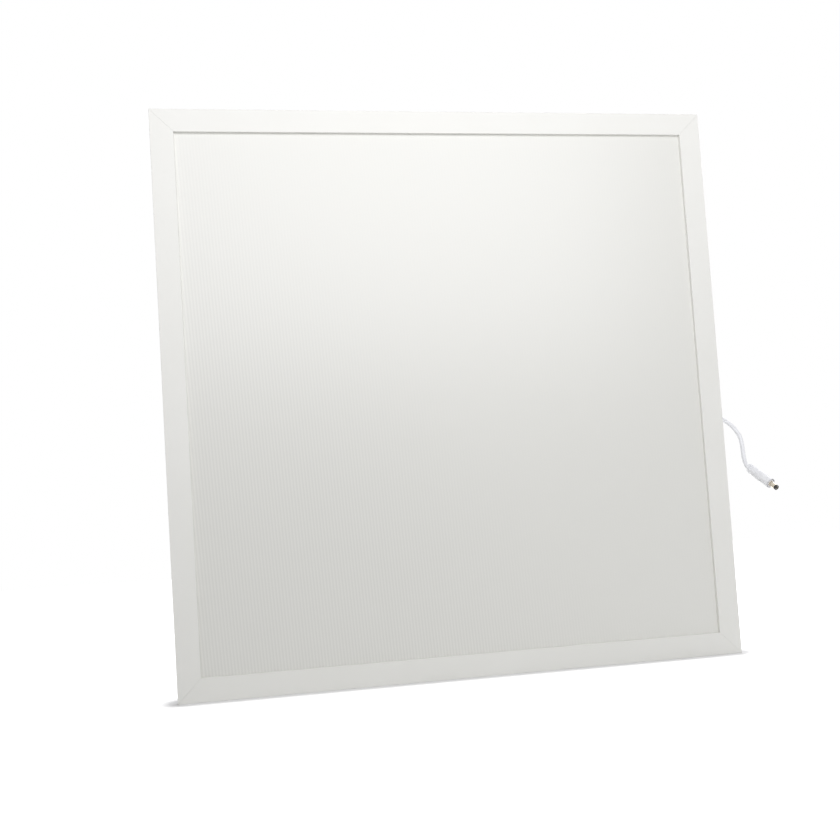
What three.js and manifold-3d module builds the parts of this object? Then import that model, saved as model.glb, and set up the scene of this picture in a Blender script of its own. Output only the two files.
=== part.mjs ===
// A slim LED ceiling panel for a 600 mm grid, in millimetres. LED strips along its left and right
// edges shine into an acrylic light guide, which sends the light out through the diffuser.
// X runs along the width, Z up the height, and the light leaves towards -Y. The origin is the
// middle of the back sheet's outer face.
import * as THREE from "three";
import { mergeVertices } from "three/addons/utils/BufferGeometryUtils.js";
import Module from "manifold-3d";

// Driving dimensions: the panel's outline
const PANEL_WIDTH = 595;
const PANEL_HEIGHT = 595;

// The extruded frame profile, measured in from the panel's edge and back from its face
const FLANGE_WIDTH = 23.5;
const PROFILE_WALL = 1.25;
const LIP_DEPTH = 3.5;
const EDGE_CHAMFER = 0.25;
const KEY_CHAMBER_WIDTH = 5;
const SCREW_SLOT_WIDTH = 3.5;
const SCREW_SLOT_DEPTH = 3;
const MITRE_GAP = 0.0625;

// The sheets that lie between the frame's lip and its screw slots, front to back
const DIFFUSER_THICKNESS = 1.5;
const GUIDE_THICKNESS = 3;
const REFLECTOR_THICKNESS = 0.25;
const FOAM_THICKNESS = 1.25;
const BACK_THICKNESS = 0.5;
const GUIDE_EDGE_GAP = 2;
const BACK_EDGE_GAP = 0.25;

// Clearances round bushes and between nested pieces
const BUSH_CLEARANCE = 0.3;
const SNUG_FIT = 0.15;

// Corner keys and the screws that close the back
const KEY_LEG_LENGTH = 40;
const KEY_CLEARANCE = 0.3;
const SCREWS_PER_SIDE = 5;
const FIRST_SCREW_FROM_CORNER = 25;
const SCREW_SHANK_RADIUS = 1.45;
const SCREW_LENGTH = 5;
const SCREW_HEAD_RADIUS = 2.5;
const SCREW_HEAD_HEIGHT = 1.5;
const SCREW_HOLE_CLEARANCE = 0.3;

// LED strips and the blocks that keep the light guide off the frame
const STRIP_BOARD_THICKNESS = 1;
const STRIP_BOARD_WIDTH = 5;
const STRIP_FROM_CORNER = 27.5;
const LED_PITCH = 12;
const LED_LENGTH = 4;
const LED_HEIGHT = 1.4;
const LED_THICKNESS = 0.75;
const BUMPER_LENGTH = 20;
const BUMPER_FROM_MIDDLE = 180;

// The wiring cover on the back, its screws and the grommet under it
const COVER_LENGTH = 58;
const COVER_WIDTH = 24;
const COVER_HEADROOM = 0.5;
const COVER_WALL = 1.5;
const COVER_CORNER_RADIUS = 4;
const COVER_EAR_LENGTH = 10;
const COVER_EAR_REACH = 9;
const COVER_EAR_THICKNESS = 2;
const COVER_SCREW_LENGTH = 3.5;
const GROMMET_BORE_RADIUS = 2.25;
const GROMMET_NECK_RADIUS = 3.5;
const GROMMET_FLANGE_RADIUS = 5;
const GROMMET_FLANGE_HEIGHT = 1;
const GROMMET_FROM_COVER_END = 14;

// How far the back sheet's bearing field stays off the wiring cover
const BEARING_MARGIN = 10;

// Wires inside the panel
const WIRE_DIAMETER = 0.8;
const WIRE_PITCH = 2;
const WIRE_CHANNEL_WIDTH = 4;
const WIRE_END_GAP = 0.25;
const SPLICE_DIAMETER = 1.6;
const SPLICE_LENGTH = 12;

// The lead, its strain relief and its plug
const LEAD_DIAMETER = 4.5;
const LEAD_END_GAP = 0.3;
const RELIEF_NECK_RADIUS = 3.25;
const RELIEF_FLANGE_RADIUS = 4.5;
const RELIEF_FLANGE_THICKNESS = 1.5;
const RELIEF_TAIL_LENGTH = 20;
const RELIEF_TAIL_RADIUS = 4;
const RELIEF_TIP_RADIUS = 2.75;
const PLUG_LENGTH = 33.5;
const PLUG_RADIUS = 5.5;
const PLUG_GRIP_LENGTH = 14;
const PLUG_GRIP_RADIUS = 4.75;
const BARREL_RADIUS = 2.75;
const BARREL_REACH = 9.7;
const BARREL_SEAT_DEPTH = 6;
const BARREL_WALL = 0.5;
const BARREL_TIP_LENGTH = 2.2;
const CONTACT_BORE_RADIUS = 1.05;
const CONTACT_WALL = 0.3;
const CONTACT_RECESS = 0.5;
const TIP_CHAMFER = 0.4;
const PLUG_CHAMFER = 0.75;
const PLUG_STEP = 1;

// The lead's route: X from the panel's right edge, Y from its back, Z from its middle. It leaves
// the strain relief straight, droops behind the panel and curls forward past the edge.
const LEAD_ROUTE = [
  [-73, 5.5, -23],
  [-65, 5.5, -23],
  [-57, 5.5, -23.5],
  [-49, 5.5, -24.5],
  [-41, 5.5, -25.5],
  [-33, 5.5, -27],
  [-25.5, 5.5, -29],
  [-17.5, 6, -31.5],
  [-10, 6, -34.5],
  [-3, 6, -37.5],
  [4.5, 5.5, -41.5],
  [11, 5, -45.5],
  [17, 4.5, -50.5],
  [21.5, 3, -57],
  [24.5, 1.5, -64],
  [25, -0.5, -72],
  [24.5, -2.5, -80],
  [23.5, -5.5, -87.5],
  [23, -9.5, -94],
  [23, -12.5, -97.4],
  [24, -15.5, -99.5],
];

// Levels along Y, worked back from the back sheet's outer face
const PANEL_DEPTH = LIP_DEPTH + DIFFUSER_THICKNESS + GUIDE_THICKNESS + REFLECTOR_THICKNESS
  + FOAM_THICKNESS + BACK_THICKNESS;
const FACE_Y = -PANEL_DEPTH;
const DIFFUSER_BACK_Y = FACE_Y + LIP_DEPTH + DIFFUSER_THICKNESS;
const GUIDE_BACK_Y = DIFFUSER_BACK_Y + GUIDE_THICKNESS;
const REFLECTOR_BACK_Y = GUIDE_BACK_Y + REFLECTOR_THICKNESS;
const FOAM_BACK_Y = REFLECTOR_BACK_Y + FOAM_THICKNESS;
const GUIDE_MIDDLE_Y = GUIDE_BACK_Y - GUIDE_THICKNESS / 2;
const WIRE_Y = FOAM_BACK_Y - FOAM_THICKNESS / 2;

// Insets from the panel's edge
const RIB_OUTER = PROFILE_WALL + KEY_CHAMBER_WIDTH;
const RIB_INNER = RIB_OUTER + PROFILE_WALL;
const SCREW_LINE = PROFILE_WALL + KEY_CHAMBER_WIDTH / 2;
const GUIDE_INSET = RIB_INNER + GUIDE_EDGE_GAP;
const BACK_INSET = PROFILE_WALL + BACK_EDGE_GAP;
const SLOT_FLOOR = PANEL_DEPTH - BACK_THICKNESS - SCREW_SLOT_DEPTH;
const HOLE_RADIUS = SCREW_SHANK_RADIUS + SCREW_HOLE_CLEARANCE;

// The wiring cover sits where the lead's strain relief ends, and the grommet near its far end
const RIGHT_EDGE = PANEL_WIDTH / 2;
const [LEAD_START_INSET, LEAD_Y, LEAD_Z] = LEAD_ROUTE[0];
const RELIEF_END_X = RIGHT_EDGE + LEAD_START_INSET - LEAD_END_GAP;
const RELIEF_FLANGE_X = RELIEF_END_X - RELIEF_TAIL_LENGTH - RELIEF_FLANGE_THICKNESS;
const COVER_END_X = RELIEF_FLANGE_X - BUSH_CLEARANCE;
const COVER_X = COVER_END_X - COVER_LENGTH / 2;
const RELIEF_START_X = COVER_END_X - COVER_WALL - BUSH_CLEARANCE - RELIEF_FLANGE_THICKNESS;
const COVER_HEIGHT = LEAD_Y + RELIEF_FLANGE_RADIUS + COVER_HEADROOM + COVER_WALL;
const GROMMET_X = COVER_END_X - COVER_LENGTH + GROMMET_FROM_COVER_END;
const EAR_SCREW_REACH = COVER_WIDTH / 2 + COVER_EAR_REACH / 2;
const BOARD_FACE_INSET = RIB_INNER + STRIP_BOARD_THICKNESS;

const SIDES = [
  { name: "bottom", length: PANEL_WIDTH, reach: PANEL_HEIGHT / 2, turn: 0 },
  { name: "right", length: PANEL_HEIGHT, reach: PANEL_WIDTH / 2, turn: -Math.PI / 2 },
  { name: "top", length: PANEL_WIDTH, reach: PANEL_HEIGHT / 2, turn: Math.PI },
  { name: "left", length: PANEL_HEIGHT, reach: PANEL_WIDTH / 2, turn: Math.PI / 2 },
];

const PLUS_Y = new THREE.Vector3(0, 1, 0);

const wasm = await Module();
wasm.setup();

function finish(color, roughness, metalness = 0) {
  return new THREE.MeshStandardMaterial({ color, roughness, metalness });
}

const FINISHES = {
  powderCoat: finish("#f1f2ee", 0.55, 0.1),
  coatedSheet: finish("#eceeed", 0.5, 0.1),
  diffuser: finish("#f4f5f1", 0.35),
  acrylic: finish("#e6eef0", 0.1),
  film: finish("#ffffff", 0.4),
  foam: finish("#dfe3e2", 0.95),
  zinc: finish("#b9bcc0", 0.35, 1),
  board: finish("#f7f7f2", 0.6),
  silicone: finish("#d9dcd8", 0.7),
  coverPlastic: finish("#f2f2ef", 0.45),
  rubber: finish("#2a2a2b", 0.8),
  redWire: finish("#b3261c", 0.5),
  blackWire: finish("#1d1d1f", 0.5),
  leadJacket: finish("#f3f4f6", 0.45),
  nickel: finish("#d8cdb8", 0.25, 1),
  tipPlastic: finish("#1b1b1c", 0.5),
};

const panel = new THREE.Group();

function add(name, geometry, material, parent = panel) {
  const mesh = new THREE.Mesh(geometry, material);
  mesh.name = name;
  parent.add(mesh);
  return mesh;
}

// A closed geometry as a manifold-3d solid, and the way back.
function solidOf(geometry) {
  const bare = geometry.clone();
  bare.deleteAttribute("normal");
  bare.deleteAttribute("uv");
  const merged = mergeVertices(bare, 1e-4);
  return new wasm.Manifold(new wasm.Mesh({
    numProp: 3,
    vertProperties: merged.getAttribute("position").array,
    triVerts: new Uint32Array(merged.index.array),
  }));
}

function geometryOf(solid) {
  const { vertProperties, triVerts } = solid.getMesh();
  const geometry = new THREE.BufferGeometry();
  geometry.setAttribute("position", new THREE.BufferAttribute(vertProperties, 3));
  geometry.setIndex(new THREE.BufferAttribute(triVerts, 1));
  geometry.computeVertexNormals();
  return geometry;
}

function join(geometries) {
  return geometryOf(geometries.map(solidOf).reduce((whole, part) => whole.add(part)));
}

function cut(geometry, tools) {
  return geometryOf(tools.map(solidOf).reduce((rest, tool) => rest.subtract(tool), solidOf(geometry)));
}

function box(xs, ys, zs) {
  return new THREE.BoxGeometry(xs[1] - xs[0], ys[1] - ys[0], zs[1] - zs[0])
    .translate((xs[0] + xs[1]) / 2, (ys[0] + ys[1]) / 2, (zs[0] + zs[1]) / 2);
}

// An outline drawn in X and Z, given its thickness forward from its back face.
function slab(outline, thickness, backY, curveSegments = 6) {
  return new THREE.ExtrudeGeometry(outline, { depth: thickness, bevelEnabled: false, curveSegments })
    .applyMatrix4(new THREE.Matrix4().set(1, 0, 0, 0, 0, 0, -1, backY, 0, 1, 0, 0, 0, 0, 0, 1));
}

function rectangle(width, height) {
  return new THREE.Shape([
    new THREE.Vector2(-width / 2, -height / 2),
    new THREE.Vector2(width / 2, -height / 2),
    new THREE.Vector2(width / 2, height / 2),
    new THREE.Vector2(-width / 2, height / 2),
  ]);
}

function roundedRectangle(width, height, radius, x = 0, z = 0) {
  const [w, h] = [width / 2, height / 2];
  const outline = new THREE.Shape();
  outline.absarc(x + w - radius, z - h + radius, radius, -Math.PI / 2, 0);
  outline.absarc(x + w - radius, z + h - radius, radius, 0, Math.PI / 2);
  outline.absarc(x - w + radius, z + h - radius, radius, Math.PI / 2, Math.PI);
  outline.absarc(x - w + radius, z - h + radius, radius, Math.PI, 1.5 * Math.PI);
  return outline;
}

function roundHole(x, z, radius) {
  return new THREE.Path().absarc(x, z, radius, 0, 2 * Math.PI, true);
}

// A turned piece about +Y from [radius, height] pairs, which start and end on the axis.
function turned(profile, segments = 12) {
  return new THREE.LatheGeometry(profile.map(([r, y]) => new THREE.Vector2(r, y)), segments);
}

function tubeBetween(innerRadius, outerRadius, from, to, segments) {
  const corners = [[innerRadius, from], [outerRadius, from], [outerRadius, to], [innerRadius, to]];
  return turned([...corners, corners[0]], segments);
}

// A wire of straight runs, with a ball at each turn.
const WIRE_SIDES = 8;
function wire(points, diameter) {
  const parts = [];
  const ends = points.map((point) => new THREE.Vector3(...point));
  for (let i = 1; i < ends.length; i += 1) {
    const run = ends[i].clone().sub(ends[i - 1]);
    const middle = ends[i].clone().add(ends[i - 1]).divideScalar(2);
    const turn = new THREE.Quaternion().setFromUnitVectors(PLUS_Y, run.clone().normalize());
    parts.push(new THREE.CylinderGeometry(diameter / 2, diameter / 2, run.length(), WIRE_SIDES)
      .applyQuaternion(turn).translate(...middle));
    if (i > 1) parts.push(new THREE.SphereGeometry(diameter / 2, WIRE_SIDES, 6).translate(...ends[i - 1]));
  }
  return join(parts);
}

// Where each side's screws stand along it, from its middle.
function screwStations(length) {
  const last = length / 2 - FIRST_SCREW_FROM_CORNER;
  return Array.from({ length: SCREWS_PER_SIDE }, (_, i) => last * ((2 * i) / (SCREWS_PER_SIDE - 1) - 1));
}

// A point given along a side and in from its edge, as X and Z on the whole panel.
function onPanel(side, along, inset) {
  const point = new THREE.Vector3(along, 0, inset - side.reach)
    .applyAxisAngle(PLUS_Y, side.turn);
  return [point.x, point.z];
}

// Frame rail: the profile drawn inwards and backwards, swept along its side and mitred at both
// ends. Behind the flange it has a chamber for the corner keys, open to the back through the
// narrower slot that the screws bite into, and a rib that the LED strip is stuck to.
function railGeometry(side) {
  const slotInset = (KEY_CHAMBER_WIDTH - SCREW_SLOT_WIDTH) / 2;
  const seat = PANEL_DEPTH - BACK_THICKNESS;
  const outline = new THREE.Shape([
    [EDGE_CHAMFER, 0],
    [FLANGE_WIDTH - EDGE_CHAMFER, 0],
    [FLANGE_WIDTH, EDGE_CHAMFER],
    [FLANGE_WIDTH, LIP_DEPTH],
    [FLANGE_WIDTH - PROFILE_WALL, LIP_DEPTH],
    [FLANGE_WIDTH - PROFILE_WALL, PROFILE_WALL],
    [RIB_INNER, PROFILE_WALL],
    [RIB_INNER, seat],
    [RIB_OUTER - slotInset, seat],
    [RIB_OUTER - slotInset, SLOT_FLOOR],
    [RIB_OUTER, SLOT_FLOOR],
    [RIB_OUTER, PROFILE_WALL],
    [PROFILE_WALL, PROFILE_WALL],
    [PROFILE_WALL, SLOT_FLOOR],
    [PROFILE_WALL + slotInset, SLOT_FLOOR],
    [PROFILE_WALL + slotInset, seat],
    [PROFILE_WALL, seat],
    [PROFILE_WALL, PANEL_DEPTH],
    [0, PANEL_DEPTH],
    [0, EDGE_CHAMFER],
  ].map(([inset, back]) => new THREE.Vector2(inset, back)));
  const geometry = new THREE.ExtrudeGeometry(outline, { depth: 1, bevelEnabled: false });
  const position = geometry.getAttribute("position");
  for (let i = 0; i < position.count; i += 1) {
    const inset = position.getX(i);
    const end = side.length / 2 - inset - MITRE_GAP;
    const along = position.getZ(i) > 0.5 ? -end : end;
    position.setXYZ(i, along, FACE_Y + position.getY(i), inset - side.reach);
  }
  geometry.computeVertexNormals();
  return geometry;
}

for (const side of SIDES) {
  add(`frame_rail_${side.name}`, railGeometry(side), FINISHES.powderCoat).rotation.y = side.turn;
}

// Corner keys: an L of steel in each pair of chambers, with a hole in each leg for a back screw.
const KEY_FRONT_Y = FACE_Y + PROFILE_WALL + KEY_CLEARANCE;
const KEY_BACK_Y = FACE_Y + SLOT_FLOOR - KEY_CLEARANCE;
for (const [i, cornerName] of ["bottom_left", "bottom_right", "top_right", "top_left"].entries()) {
  const side = SIDES[i];
  const near = PROFILE_WALL + KEY_CLEARANCE;
  const far = RIB_OUTER - KEY_CLEARANCE;
  const tip = near + KEY_LEG_LENGTH;
  const corners = [[near, near], [tip, near], [tip, far], [far, far], [far, tip], [near, tip]];
  const outline = new THREE.Shape(
    corners.map(([along, inset]) => new THREE.Vector2(along - side.length / 2, inset - side.reach)),
  );
  outline.holes.push(
    roundHole(FIRST_SCREW_FROM_CORNER - side.length / 2, SCREW_LINE - side.reach, HOLE_RADIUS),
    roundHole(SCREW_LINE - side.length / 2, FIRST_SCREW_FROM_CORNER - side.reach, HOLE_RADIUS),
  );
  add(`corner_key_${cornerName}`, slab(outline, KEY_BACK_Y - KEY_FRONT_Y, KEY_BACK_Y), FINISHES.zinc)
    .rotation.y = side.turn;
}

// Diffuser, light guide and reflector: plain sheets of one outline, face to face behind the lip.
const GUIDE_WIDTH = PANEL_WIDTH - 2 * GUIDE_INSET;
const GUIDE_HEIGHT = PANEL_HEIGHT - 2 * GUIDE_INSET;
const GUIDE_OUTLINE = rectangle(GUIDE_WIDTH, GUIDE_HEIGHT);
add("diffuser_sheet", slab(GUIDE_OUTLINE, DIFFUSER_THICKNESS, DIFFUSER_BACK_Y), FINISHES.diffuser);
add("light_guide_plate", slab(GUIDE_OUTLINE, GUIDE_THICKNESS, GUIDE_BACK_Y), FINISHES.acrylic);
add("reflector_film", slab(GUIDE_OUTLINE, REFLECTOR_THICKNESS, REFLECTOR_BACK_Y), FINISHES.film);

// Foam pad: presses the sheets against the lip. A channel runs from the grommet to its right edge
// for the supply wires, with room at its end for the grommet's lower flange and the ear screws.
const FLANGE_ROOM = GROMMET_FLANGE_RADIUS + BUSH_CLEARANCE;
const EAR_SCREWS = [-1, 1].map((way) => [COVER_X, LEAD_Z + way * EAR_SCREW_REACH]);
const CHANNEL_HALF = WIRE_CHANNEL_WIDTH / 2;
const foamOutline = new THREE.Shape([
  [-GUIDE_WIDTH / 2, -GUIDE_HEIGHT / 2],
  [GUIDE_WIDTH / 2, -GUIDE_HEIGHT / 2],
  [GUIDE_WIDTH / 2, LEAD_Z - CHANNEL_HALF],
  [GROMMET_X + FLANGE_ROOM, LEAD_Z - CHANNEL_HALF],
  [GROMMET_X + FLANGE_ROOM, LEAD_Z - FLANGE_ROOM],
  [GROMMET_X - FLANGE_ROOM, LEAD_Z - FLANGE_ROOM],
  [GROMMET_X - FLANGE_ROOM, LEAD_Z + FLANGE_ROOM],
  [GROMMET_X + FLANGE_ROOM, LEAD_Z + FLANGE_ROOM],
  [GROMMET_X + FLANGE_ROOM, LEAD_Z + CHANNEL_HALF],
  [GUIDE_WIDTH / 2, LEAD_Z + CHANNEL_HALF],
  [GUIDE_WIDTH / 2, GUIDE_HEIGHT / 2],
  [-GUIDE_WIDTH / 2, GUIDE_HEIGHT / 2],
].map(([x, z]) => new THREE.Vector2(x, z)));
foamOutline.holes.push(...EAR_SCREWS.map(([x, z]) => roundHole(x, z, HOLE_RADIUS)));
add("foam_pad", slab(foamOutline, FOAM_THICKNESS, FOAM_BACK_Y), FINISHES.foam);

// Back sheet: lies inside the frame's outer wall, on the ribs, flush with the frame's back. Its
// bearing field, clear of every screw head and of the wiring cover, is a plain rectangle of its
// own: a ceiling or a wall plate lies flat on it.
const backOutline = rectangle(PANEL_WIDTH - 2 * BACK_INSET, PANEL_HEIGHT - 2 * BACK_INSET);
const fieldLeft = FLANGE_WIDTH - PANEL_WIDTH / 2;
const fieldRight = COVER_END_X - COVER_LENGTH - BEARING_MARGIN;
const fieldTop = PANEL_HEIGHT / 2 - FLANGE_WIDTH;
const bearingField = new THREE.Shape([
  [fieldLeft, -fieldTop],
  [fieldRight, -fieldTop],
  [fieldRight, fieldTop],
  [fieldLeft, fieldTop],
].map(([x, z]) => new THREE.Vector2(x, z)));
backOutline.holes.push(bearingField);
for (const side of SIDES) {
  for (const along of screwStations(side.length)) {
    backOutline.holes.push(roundHole(...onPanel(side, along, SCREW_LINE), HOLE_RADIUS));
  }
}
backOutline.holes.push(
  ...EAR_SCREWS.map(([x, z]) => roundHole(x, z, HOLE_RADIUS)),
  roundHole(GROMMET_X, LEAD_Z, GROMMET_NECK_RADIUS + BUSH_CLEARANCE),
);
const backSheet = join([
  slab(backOutline, BACK_THICKNESS, 0),
  slab(bearingField, BACK_THICKNESS, 0),
]);
add("back_sheet", backSheet, FINISHES.coatedSheet);

// Pan-head screws, standing along +Y with the underside of the head at their own origin.
function screwGeometry(length) {
  const crown = SCREW_HEAD_HEIGHT * 0.55;
  return turned([
    [0, -length],
    [SCREW_SHANK_RADIUS * 0.6, -length],
    [SCREW_SHANK_RADIUS, SCREW_SHANK_RADIUS * 0.6 - length],
    [SCREW_SHANK_RADIUS, 0],
    [SCREW_HEAD_RADIUS, 0],
    [SCREW_HEAD_RADIUS, crown],
    [SCREW_HEAD_RADIUS * 0.7, SCREW_HEAD_HEIGHT],
    [0, SCREW_HEAD_HEIGHT],
  ]);
}

for (const side of SIDES) {
  for (const [i, along] of screwStations(side.length).entries()) {
    const [x, z] = onPanel(side, along, SCREW_LINE);
    add(`back_screw_${side.name}_${i + 1}`, screwGeometry(SCREW_LENGTH), FINISHES.zinc)
      .position.set(x, 0, z);
  }
}

// LED strips: a board on the rib of the left and right rails, its packages facing the guide.
function stripGeometry(side) {
  const half = side.length / 2 - STRIP_FROM_CORNER;
  const ys = [GUIDE_MIDDLE_Y - STRIP_BOARD_WIDTH / 2, GUIDE_MIDDLE_Y + STRIP_BOARD_WIDTH / 2];
  const board = box([-half, half], ys, [RIB_INNER - side.reach, BOARD_FACE_INSET - side.reach]);
  const eachWay = Math.floor((half - LED_LENGTH) / LED_PITCH);
  const packages = Array.from({ length: 2 * eachWay + 1 }, (_, i) => {
    const along = (i - eachWay) * LED_PITCH;
    return box(
      [along - LED_LENGTH / 2, along + LED_LENGTH / 2],
      [GUIDE_MIDDLE_Y - LED_HEIGHT / 2, GUIDE_MIDDLE_Y + LED_HEIGHT / 2],
      [RIB_INNER + STRIP_BOARD_THICKNESS / 2 - side.reach, BOARD_FACE_INSET + LED_THICKNESS - side.reach],
    );
  });
  return join([board, ...packages]);
}

for (const side of SIDES.filter(({ name }) => name === "left" || name === "right")) {
  add(`led_strip_${side.name}`, stripGeometry(side), FINISHES.board).rotation.y = side.turn;
}

// Silicone blocks: fill the gap between the top and bottom ribs and the guide's edge.
for (const side of SIDES.filter(({ name }) => name === "top" || name === "bottom")) {
  for (const [i, way] of [-1, 1].entries()) {
    const middle = way * BUMPER_FROM_MIDDLE;
    const block = box(
      [middle - BUMPER_LENGTH / 2, middle + BUMPER_LENGTH / 2],
      [FACE_Y + LIP_DEPTH, GUIDE_BACK_Y],
      [RIB_INNER - side.reach, GUIDE_INSET - side.reach],
    );
    add(`guide_block_${side.name}_${i + 1}`, block, FINISHES.silicone).rotation.y = side.turn;
  }
}

// Link wires: from the right strip's lower end, along the bottom rail, to the left strip's. One
// ends against the boards' ends and the other lies beside their faces.
const stripEnd = -PANEL_HEIGHT / 2 + STRIP_FROM_CORNER;
for (const [name, inset, endZ] of [
  ["black", RIB_INNER + STRIP_BOARD_THICKNESS / 2, stripEnd - WIRE_END_GAP],
  ["red", BOARD_FACE_INSET + SNUG_FIT + WIRE_DIAMETER / 2, stripEnd + WIRE_PITCH],
]) {
  const x = PANEL_WIDTH / 2 - inset;
  const z = -PANEL_HEIGHT / 2 + inset;
  const route = [[x, WIRE_Y, endZ], [x, WIRE_Y, z], [-x, WIRE_Y, z], [-x, WIRE_Y, endZ]];
  add(`link_wire_${name}`, wire(route, WIRE_DIAMETER), FINISHES[`${name}Wire`]);
}

// Supply wires: from the splices inside the cover, down through the grommet and along the foam's
// channel to the right strip. Each splice joins one of them to a core of the lead.
const SPLICE_END_X = RELIEF_START_X - 2 * WIRE_END_GAP - 4;
for (const [name, way] of [["red", 1], ["black", -1]]) {
  const z = LEAD_Z + (way * WIRE_PITCH) / 2;
  const spliceStart = SPLICE_END_X - SPLICE_LENGTH;
  const core = [[RELIEF_START_X - WIRE_END_GAP, LEAD_Y, z], [SPLICE_END_X + WIRE_END_GAP, LEAD_Y, z]];
  add(`lead_core_${name}`, wire(core, WIRE_DIAMETER), FINISHES[`${name}Wire`]);
  const sleeve = [[SPLICE_END_X, LEAD_Y, z], [spliceStart, LEAD_Y, z]];
  add(`splice_sleeve_${name}`, wire(sleeve, SPLICE_DIAMETER), FINISHES.tipPlastic);
  const supply = [
    [spliceStart - WIRE_END_GAP, LEAD_Y, z],
    [GROMMET_X, LEAD_Y, z],
    [GROMMET_X, WIRE_Y, z],
    [RIGHT_EDGE - BOARD_FACE_INSET - WIRE_END_GAP, WIRE_Y, z],
  ];
  add(`supply_wire_${name}`, wire(supply, WIRE_DIAMETER), FINISHES[`${name}Wire`]);
}

// Rubber grommet in the back sheet's wire hole, gripping the sheet between its two flanges.
const GROMMET_LOWER = FOAM_THICKNESS - 2 * SNUG_FIT;
const grommet = turned([
  [GROMMET_BORE_RADIUS, -BACK_THICKNESS - GROMMET_LOWER],
  [GROMMET_FLANGE_RADIUS, -BACK_THICKNESS - GROMMET_LOWER],
  [GROMMET_FLANGE_RADIUS, -BACK_THICKNESS - SNUG_FIT],
  [GROMMET_NECK_RADIUS, -BACK_THICKNESS - SNUG_FIT],
  [GROMMET_NECK_RADIUS, SNUG_FIT],
  [GROMMET_FLANGE_RADIUS, SNUG_FIT],
  [GROMMET_FLANGE_RADIUS, GROMMET_FLANGE_HEIGHT],
  [GROMMET_BORE_RADIUS, GROMMET_FLANGE_HEIGHT],
  [GROMMET_BORE_RADIUS, -BACK_THICKNESS - GROMMET_LOWER],
], 16);
const wireChannel = box(
  [0, 2 * GROMMET_FLANGE_RADIUS],
  [-PANEL_DEPTH, -BACK_THICKNESS - SNUG_FIT],
  [-CHANNEL_HALF, CHANNEL_HALF],
);
add("wire_grommet", cut(grommet, [wireChannel]), FINISHES.rubber).position.set(GROMMET_X, 0, LEAD_Z);

// Wiring cover: an open-backed box on the back sheet with an ear each side, and a round hole in
// its end wall for the strain relief.
const coverShell = slab(
  roundedRectangle(COVER_LENGTH, COVER_WIDTH, COVER_CORNER_RADIUS, COVER_X, LEAD_Z),
  COVER_HEIGHT,
  COVER_HEIGHT,
);
const coverHollow = slab(
  roundedRectangle(
    COVER_LENGTH - 2 * COVER_WALL,
    COVER_WIDTH - 2 * COVER_WALL,
    COVER_CORNER_RADIUS - COVER_WALL,
    COVER_X,
    LEAD_Z,
  ),
  COVER_HEIGHT,
  COVER_HEIGHT - COVER_WALL,
);
const ears = EAR_SCREWS.map(([x, z], i) => {
  const inward = (i ? -1 : 1) * COVER_WALL;
  const middle = z + inward / 2;
  const ear = roundedRectangle(COVER_EAR_LENGTH, COVER_EAR_REACH + COVER_WALL, 1.5, x, middle);
  ear.holes.push(roundHole(x, z, HOLE_RADIUS));
  return slab(ear, COVER_EAR_THICKNESS, COVER_EAR_THICKNESS);
});
const reliefHole = new THREE.CylinderGeometry(
  RELIEF_NECK_RADIUS + BUSH_CLEARANCE,
  RELIEF_NECK_RADIUS + BUSH_CLEARANCE,
  4 * COVER_WALL,
  16,
).rotateZ(Math.PI / 2).translate(COVER_END_X, LEAD_Y, LEAD_Z);
const hollowShell = cut(coverShell, [coverHollow, reliefHole]);
add("wiring_cover", join([hollowShell, ...ears]), FINISHES.coverPlastic);

for (const [i, [x, z]] of EAR_SCREWS.entries()) {
  add(`cover_screw_${i + 1}`, screwGeometry(COVER_SCREW_LENGTH), FINISHES.zinc)
    .position.set(x, COVER_EAR_THICKNESS, z);
}

// Strain relief: a moulded bush that grips the cover's wall between two flanges, then tapers to
// the lead. Its own axis is +Y, turned to point along +X, with the wall's outer face at zero.
const RELIEF_TAIL_START = BUSH_CLEARANCE + RELIEF_FLANGE_THICKNESS;
const reliefBack = -COVER_WALL - BUSH_CLEARANCE;
const relief = add("strain_relief", turned([
  [0, reliefBack - RELIEF_FLANGE_THICKNESS],
  [RELIEF_FLANGE_RADIUS, reliefBack - RELIEF_FLANGE_THICKNESS],
  [RELIEF_FLANGE_RADIUS, reliefBack],
  [RELIEF_NECK_RADIUS, reliefBack],
  [RELIEF_NECK_RADIUS, BUSH_CLEARANCE],
  [RELIEF_FLANGE_RADIUS, BUSH_CLEARANCE],
  [RELIEF_FLANGE_RADIUS, RELIEF_TAIL_START],
  [RELIEF_TAIL_RADIUS, RELIEF_TAIL_START],
  [RELIEF_TIP_RADIUS, RELIEF_TAIL_START + RELIEF_TAIL_LENGTH],
  [0, RELIEF_TAIL_START + RELIEF_TAIL_LENGTH],
], 16), FINISHES.leadJacket);
relief.position.set(COVER_END_X, LEAD_Y, LEAD_Z);
relief.rotation.z = -Math.PI / 2;

// The lead: a round two-core cable swept along its route.
const leadPoints = LEAD_ROUTE.map(([x, y, z]) => new THREE.Vector3(RIGHT_EDGE + x, y, z));
const leadSection = new THREE.Shape().absarc(0, 0, LEAD_DIAMETER / 2, 0, 2 * Math.PI);
const leadCurve = new THREE.CatmullRomCurve3(leadPoints, false, "centripetal");
add("lead_cord", new THREE.ExtrudeGeometry(leadSection, {
  extrudePath: leadCurve,
  steps: 40,
  curveSegments: 5,
}), FINISHES.leadJacket);

// The plug: its pieces are turned about +Y, and their group points that axis on along the lead.
const plug = new THREE.Group();
plug.position.copy(leadPoints.at(-1));
plug.quaternion.setFromUnitVectors(PLUS_Y, leadCurve.getTangent(1));
panel.add(plug);

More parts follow.
